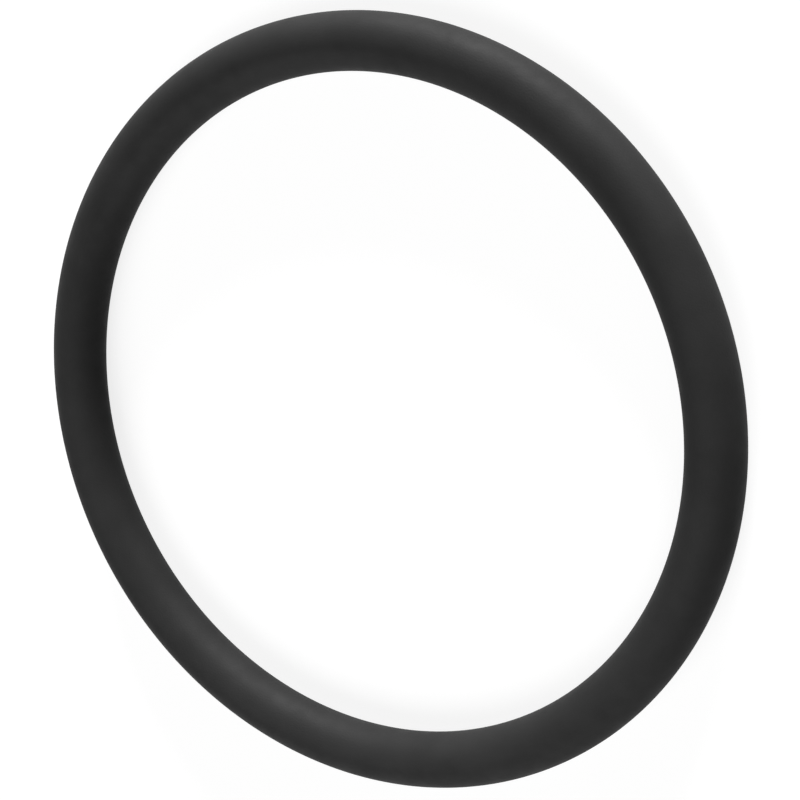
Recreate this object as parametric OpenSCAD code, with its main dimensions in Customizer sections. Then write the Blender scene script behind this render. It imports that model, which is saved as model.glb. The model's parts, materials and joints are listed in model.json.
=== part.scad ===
// Round-section rubber sealing ring, moulded in one piece.
// The ring lies flat. Its axis is Z, and the origin is the middle of the ring.
// All sizes are in millimetres, for the free ring: not stretched and not squeezed.

/* [Ring] */
// Inside diameter, measured straight across the hole
inside_d = 31.5; // [14:0.1:80]
// Thickness of the rubber, which is the diameter of its round section
section_d = 2.65; // [1:0.05:7]

/* [Colour] */
// Colour of the rubber
rubber_colour = "#2f2f2f"; // ["#2f2f2f":black, "#6b2a1e":rust brown, "#2d4a3a":dark green]

/* [Hidden] */

// Radius of the circle that the middle of the section follows
centre_r = (inside_d + section_d) / 2;

// Steps round the ring and round its section
ring_steps = 240;
section_steps = 64;

// The round section, where the ring's hole starts half the inside diameter from the axis
module section() {
    translate([centre_r, 0])
        circle(d = section_d, $fn = section_steps);
}

// The whole ring: the section carried once round the axis, with no joint and no moulding line
module o_ring() {
    color(rubber_colour)
        rotate_extrude($fn = ring_steps)
            section();
}

o_ring();
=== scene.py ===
"""A black rubber o-ring that lies flat on a white studio floor, seen from above and from one side.

Everything is in metres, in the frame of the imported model.
The ring's axis is Z, and the origin is its middle.
"""

import json
import math

import bpy
import numpy as np
from mathutils import Matrix, Vector


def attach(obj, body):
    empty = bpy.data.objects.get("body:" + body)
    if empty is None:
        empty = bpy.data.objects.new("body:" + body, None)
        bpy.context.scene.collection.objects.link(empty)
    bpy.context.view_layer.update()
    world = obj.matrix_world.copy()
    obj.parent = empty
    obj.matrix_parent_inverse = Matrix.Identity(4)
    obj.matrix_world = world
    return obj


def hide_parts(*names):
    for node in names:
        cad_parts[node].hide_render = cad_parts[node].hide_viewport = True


MM = 0.001

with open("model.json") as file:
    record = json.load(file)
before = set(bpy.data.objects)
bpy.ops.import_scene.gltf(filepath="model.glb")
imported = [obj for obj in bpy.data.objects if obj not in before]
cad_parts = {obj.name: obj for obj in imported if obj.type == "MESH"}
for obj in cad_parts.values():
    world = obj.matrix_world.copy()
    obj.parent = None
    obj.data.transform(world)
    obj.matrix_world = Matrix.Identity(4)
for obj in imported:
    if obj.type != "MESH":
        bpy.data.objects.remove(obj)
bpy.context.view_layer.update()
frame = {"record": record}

# Sizes of the ring, from its two seats in the record
seat_r = {mount["name"]: mount["dims"]["r_mm"] * MM for mount in frame["record"]["mounts"]}
INSIDE_R = seat_r["inside_seat"]
OUTSIDE_R = seat_r["outside_seat"]
CORE_R = (INSIDE_R + OUTSIDE_R) / 2
TUBE_R = (OUTSIDE_R - INSIDE_R) / 2

# Steps of the ring's mesh round its axis and round its section
RING_STEPS = 640
SECTION_STEPS = 80
# The ring's surface is unrolled in this many arcs, laid side by side
ARCS = 4
ARC_MARGIN = 0.01

# The rubber's colour where it is darkest and lightest, its gloss, and the ends of its roughness
DARK_RUBBER = (0.0165, 0.0165, 0.0165, 1)
LIGHT_RUBBER = (0.0200, 0.0200, 0.0200, 1)
RUBBER_GLOSS = 0.10
SMOOTHEST = 0.62
ROUGHEST = 0.68

# Sizes of the rubber's cloudy shades, of its smoother patches and of the mould's grain
CLOUD_SIZE = 2.5 * MM
PATCH_SIZE = 0.7 * MM
GRAIN_SIZE = 0.09 * MM
GRAIN_HEIGHT = 0.0045 * MM
CLOUD_DETAIL = 3
PATCH_DETAIL = 1
# Nearly all the values of a random cloud lie between these
CLOUD_LOW = 0.35
CLOUD_HIGH = 0.65

# The photograph sees the ring from 30 degrees to one side of its axis and 15 degrees above it
VIEW_YAW = math.radians(30)
VIEW_RISE = math.radians(15)
VIEW_DISTANCE = 82.76 * MM
VIEW_AIM = Vector((1.266, 0.640, -0.929)) * MM
LENS_MM = 80
SENSOR_MM = 36
NEAREST_SEEN = 1 * MM

WHITE = (1, 1, 1, 1)

# The floor's own colour, and the light that makes it white to the camera and in reflections
FLOOR_COLOUR = (0.24, 0.24, 0.24, 1)
FLOOR_GLOW = 0.82
FLOOR_HALF = 20.0

# The white wall round the floor ends between these heights above the horizon
WALL_TOP = math.radians(18)
WALL_END = math.radians(28)


def link(tree, source, output, target, socket):
    """Joins an output of one node to an input of another."""
    tree.links.new(source.outputs[output], target.inputs[socket])


def math_node(tree, operation):
    """A math node, with its inputs left to the caller."""
    node = tree.nodes.new("ShaderNodeMath")
    node.operation = operation
    return node


def seen_rays(tree):
    """One for rays from the camera and for reflected and transmitted ones, and zero for the rest."""
    rays = tree.nodes.new("ShaderNodeLightPath")
    camera_or_glossy = math_node(tree, "MAXIMUM")
    link(tree, rays, "Is Camera Ray", camera_or_glossy, 0)
    link(tree, rays, "Is Glossy Ray", camera_or_glossy, 1)
    any_seen = math_node(tree, "MAXIMUM")
    link(tree, camera_or_glossy, 0, any_seen, 0)
    link(tree, rays, "Is Transmission Ray", any_seen, 1)
    return any_seen


def noise(tree, place, size, detail=0):
    """An even random cloud with cells of about that size and values round a half."""
    node = tree.nodes.new("ShaderNodeTexNoise")
    node.inputs["Scale"].default_value = 1 / size
    node.inputs["Detail"].default_value = detail
    link(tree, place, "Object", node, "Vector")
    return node


def spread(tree, cloud, low, high):
    """The usual values of a cloud, drawn out to lie between two others."""
    node = tree.nodes.new("ShaderNodeMapRange")
    node.inputs["From Min"].default_value = CLOUD_LOW
    node.inputs["From Max"].default_value = CLOUD_HIGH
    node.inputs["To Min"].default_value = low
    node.inputs["To Max"].default_value = high
    link(tree, cloud, "Fac", node, "Value")
    return node


def rubber_material():
    """Black moulded rubber: nearly matt, with a fine grain, and a shade lighter or smoother in places."""
    material = bpy.data.materials.new("black_rubber")
    material.use_nodes = True
    tree = material.node_tree
    shader = tree.nodes["Principled BSDF"]
    shader.inputs["Specular IOR Level"].default_value = RUBBER_GLOSS
    place = tree.nodes.new("ShaderNodeTexCoord")

    clouds = spread(tree, noise(tree, place, CLOUD_SIZE, CLOUD_DETAIL), 0, 1)
    colour = tree.nodes.new("ShaderNodeMix")
    colour.data_type = "RGBA"
    colour.inputs["A"].default_value = DARK_RUBBER
    colour.inputs["B"].default_value = LIGHT_RUBBER
    link(tree, clouds, "Result", colour, "Factor")
    tree.links.new(colour.outputs["Result"], shader.inputs["Base Color"])

    patches = spread(tree, noise(tree, place, PATCH_SIZE, PATCH_DETAIL), SMOOTHEST, ROUGHEST)
    link(tree, patches, "Result", shader, "Roughness")

    grain = tree.nodes.new("ShaderNodeBump")
    grain.inputs["Distance"].default_value = GRAIN_HEIGHT
    link(tree, noise(tree, place, GRAIN_SIZE), "Fac", grain, "Height")
    link(tree, grain, "Normal", shader, "Normal")
    return material


def ring_mesh():
    """The ring as one closed mesh of four-sided faces on the torus, starting under the ring."""
    around = np.arange(RING_STEPS) * (2 * math.pi / RING_STEPS)
    section = np.arange(SECTION_STEPS) * (2 * math.pi / SECTION_STEPS) - math.pi / 2
    reach = CORE_R + TUBE_R * np.cos(section)
    height = TUBE_R * np.sin(section)
    points = np.empty((RING_STEPS, SECTION_STEPS, 3))
    points[..., 0] = np.outer(np.cos(around), reach)
    points[..., 1] = np.outer(np.sin(around), reach)
    points[..., 2] = height

    here = np.arange(RING_STEPS * SECTION_STEPS).reshape(RING_STEPS, SECTION_STEPS)
    onward = np.roll(here, -1, axis=0)
    upward = np.roll(here, -1, axis=1)
    both = np.roll(onward, -1, axis=1)
    faces = np.stack([here, onward, both, upward], axis=-1).reshape(-1, 4)

    mesh = bpy.data.meshes.new("rubber_ring")
    mesh.from_pydata(points.reshape(-1, 3).tolist(), [], faces.tolist())
    mesh.polygons.foreach_set("use_smooth", [True] * len(mesh.polygons))
    add_map(mesh)
    mesh.update()
    return mesh


def add_map(mesh):
    """A flat map of the surface: the ring's arcs as strips, each cut open where it meets the floor."""
    steps = RING_STEPS // ARCS
    ring_step, section_step = np.divmod(np.arange(RING_STEPS * SECTION_STEPS), SECTION_STEPS)
    arc, step = np.divmod(ring_step, steps)
    u = (step[:, None] + np.array([0, 1, 1, 0])) / steps
    v = (section_step[:, None] + np.array([0, 0, 1, 1])) / SECTION_STEPS
    inner = 1 - 2 * ARC_MARGIN
    flat = np.empty((RING_STEPS * SECTION_STEPS, 4, 2), np.float32)
    flat[..., 0] = ARC_MARGIN + inner * u
    flat[..., 1] = (arc[:, None] + ARC_MARGIN + inner * v) / ARCS
    mesh.uv_layers.new(name="OFBake").uv.foreach_set("vector", flat.ravel())


def add_ring():
    """The ring as it is seen, in place of the plain solid."""
    mesh = ring_mesh()
    mesh.materials.append(rubber_material())
    ring = bpy.data.objects.new("rubber_ring", mesh)
    bpy.context.scene.collection.objects.link(ring)
    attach(ring, "root")
    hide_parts("o_ring")


def add_camera():
    """The photograph's view, in which the ring fills the picture and +Y is up."""
    toward = Vector((
        math.sin(VIEW_YAW) * math.cos(VIEW_RISE),
        math.sin(VIEW_RISE),
        math.cos(VIEW_YAW) * math.cos(VIEW_RISE),
    ))
    right = Vector((math.cos(VIEW_YAW), 0, -math.sin(VIEW_YAW)))
    up = toward.cross(right)
    data = bpy.data.cameras.new("camera")
    data.lens = LENS_MM
    data.sensor_width = SENSOR_MM
    data.clip_start = NEAREST_SEEN
    data.clip_end = 2 * FLOOR_HALF
    camera = bpy.data.objects.new("camera", data)
    turn = Matrix((right, up, toward)).transposed()
    camera.matrix_world = Matrix.Translation(VIEW_AIM + toward * VIEW_DISTANCE) @ turn.to_4x4()
    bpy.context.scene.collection.objects.link(camera)
    bpy.context.scene.camera = camera


def floor_material():
    """Grey paper, which shows as white to the camera and in reflections and keeps the ring's shadow."""
    material = bpy.data.materials.new("white_floor")
    material.use_nodes = True
    tree = material.node_tree
    tree.nodes.clear()
    paper = tree.nodes.new("ShaderNodeBsdfDiffuse")
    paper.inputs["Color"].default_value = FLOOR_COLOUR
    glow = tree.nodes.new("ShaderNodeEmission")
    strength = math_node(tree, "MULTIPLY")
    strength.inputs[1].default_value = FLOOR_GLOW
    link(tree, seen_rays(tree), 0, strength, 0)
    link(tree, strength, 0, glow, "Strength")
    both = tree.nodes.new("ShaderNodeAddShader")
    link(tree, paper, 0, both, 0)
    link(tree, glow, 0, both, 1)
    output = tree.nodes.new("ShaderNodeOutputMaterial")
    link(tree, both, 0, output, "Surface")
    return material


def add_floor():
    """A wide flat floor at the height on which the ring rests."""
    z = -TUBE_R
    corners = [
        (-FLOOR_HALF, -FLOOR_HALF, z),
        (FLOOR_HALF, -FLOOR_HALF, z),
        (FLOOR_HALF, FLOOR_HALF, z),
        (-FLOOR_HALF, FLOOR_HALF, z),
    ]
    mesh = bpy.data.meshes.new("floor")
    mesh.from_pydata(corners, [], [(0, 1, 2, 3)])
    mesh.materials.append(floor_material())
    floor = bpy.data.objects.new("floor", mesh)
    bpy.context.scene.collection.objects.link(floor)


def add_softlight(name, azimuth, elevation, across, level):
    """A far soft light of so many degrees across. At level one, white that faces it renders as white."""
    a = math.radians(azimuth)
    e = math.radians(elevation)
    toward = Vector((math.cos(a) * math.cos(e), math.sin(a) * math.cos(e), math.sin(e)))
    data = bpy.data.lights.new(name, "SUN")
    data.angle = math.radians(across)
    data.energy = level * math.pi
    light = bpy.data.objects.new(name, data)
    light.rotation_mode = "QUATERNION"
    light.rotation_quaternion = toward.to_track_quat("Z", "Y")
    bpy.context.scene.collection.objects.link(light)


def add_world():
    """A low white wall round the floor, for the camera and reflections, with a dark room above it."""
    world = bpy.data.worlds.new("room")
    world.use_nodes = True
    tree = world.node_tree
    background = tree.nodes["Background"]
    background.inputs["Color"].default_value = WHITE
    place = tree.nodes.new("ShaderNodeTexCoord")
    axes = tree.nodes.new("ShaderNodeSeparateXYZ")
    link(tree, place, "Generated", axes, "Vector")
    wall = tree.nodes.new("ShaderNodeMapRange")
    wall.inputs["From Min"].default_value = math.sin(WALL_TOP)
    wall.inputs["From Max"].default_value = math.sin(WALL_END)
    wall.inputs["To Min"].default_value = 1
    wall.inputs["To Max"].default_value = 0
    link(tree, axes, "Z", wall, "Value")
    strength = math_node(tree, "MULTIPLY")
    link(tree, wall, "Result", strength, 0)
    link(tree, seen_rays(tree), 0, strength, 1)
    link(tree, strength, 0, background, "Strength")
    bpy.context.scene.world = world


def main():
    """The camera, the ring and the studio round it."""
    bpy.context.scene.view_settings.view_transform = "Standard"
    add_camera()
    add_ring()
    add_floor()
    add_softlight("key", azimuth=90, elevation=7, across=20, level=2.9)
    add_softlight("left fill", azimuth=-105, elevation=48, across=60, level=0.7)
    add_softlight("right fill", azimuth=-60, elevation=45, across=60, level=0.26)
    add_world()


main()
